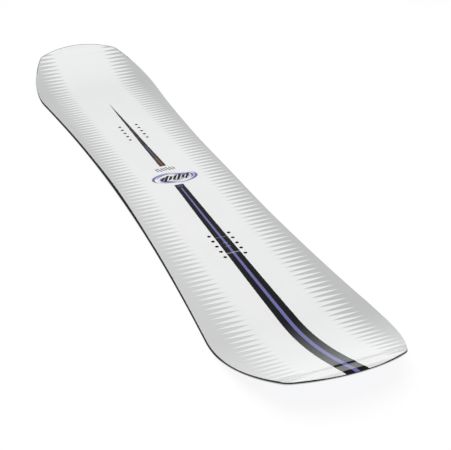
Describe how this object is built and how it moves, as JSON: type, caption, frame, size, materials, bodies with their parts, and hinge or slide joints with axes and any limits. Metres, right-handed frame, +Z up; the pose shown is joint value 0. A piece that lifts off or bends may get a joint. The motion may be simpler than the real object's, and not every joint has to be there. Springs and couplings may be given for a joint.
{
  "type": "snowboard",
  "caption": "Blunt-nosed twin snowboard without bindings: wood core between fibreglass, steel edges, inlaid black base, glossy topsheet with threaded inserts.",
  "frame": {"origin": "on the floor plane under the middle of the board, midway between the two insert packs; the two contact lines of the base touch Z = 0", "axes": "+X along the board towards the nose (the end the topsheet stripe widens to), +Y across the board to its left, +Z up through the topsheet"},
  "size_m": [1.549, 0.2936, 0.0633],
  "materials": {
    "topsheet": "clear gloss nylon topsheet, printed light grey with a black centre stripe",
    "fibreglass": "cured triaxial glass laminate",
    "core_light": "planed poplar",
    "core_dark": "planed beech",
    "sidewall": "black ABS, milled",
    "rubber": "black damping foil",
    "edge_steel": "ground and polished edge steel",
    "insert_steel": "zinc-plated steel",
    "base_black": "stone-ground black sintered polyethylene",
    "base_lavender": "stone-ground lavender polyethylene inlay"
  },
  "bodies": {
    "root": {"base_centre": "base_black", "base_rail_left": "base_black", "base_rail_right": "base_black", "base_streak_inner_left": "base_lavender", "base_streak_inner_right": "base_lavender", "base_streak_outer_left": "base_lavender", "base_streak_outer_right": "base_lavender", "base_stripe_left": "base_lavender", "base_stripe_right": "base_lavender", "core_stringer_01": "core_light", "core_stringer_02": "core_dark", "core_stringer_03": "core_light", "core_stringer_04": "core_dark", "core_stringer_05": "core_light", "core_stringer_06": "core_dark", "core_stringer_07": "core_light", "core_stringer_08": "core_dark", "core_stringer_09": "core_light", "core_stringer_10": "core_dark", "core_stringer_11": "core_light", "edge_foil_left": "rubber", "edge_foil_right": "rubber", "edge_left": "edge_steel", "edge_right": "edge_steel", "insert_front_01": "insert_steel", "insert_front_02": "insert_steel", "insert_front_03": "insert_steel", "insert_front_04": "insert_steel", "insert_front_05": "insert_steel", "insert_front_06": "insert_steel", "insert_front_07": "insert_steel", "insert_front_08": "insert_steel", "insert_front_09": "insert_steel", "insert_front_10": "insert_steel", "insert_rear_01": "insert_steel", "insert_rear_02": "insert_steel", "insert_rear_03": "insert_steel", "insert_rear_04": "insert_steel", "insert_rear_05": "insert_steel", "insert_rear_06": "insert_steel", "insert_rear_07": "insert_steel", "insert_rear_08": "insert_steel", "insert_rear_09": "insert_steel", "insert_rear_10": "insert_steel", "lower_fibreglass": "fibreglass", "nose_spacer": "sidewall", "sidewall_left": "sidewall", "sidewall_right": "sidewall", "tail_spacer": "sidewall", "topsheet": "topsheet", "upper_fibreglass": "fibreglass"}
  },
  "joints": []
}
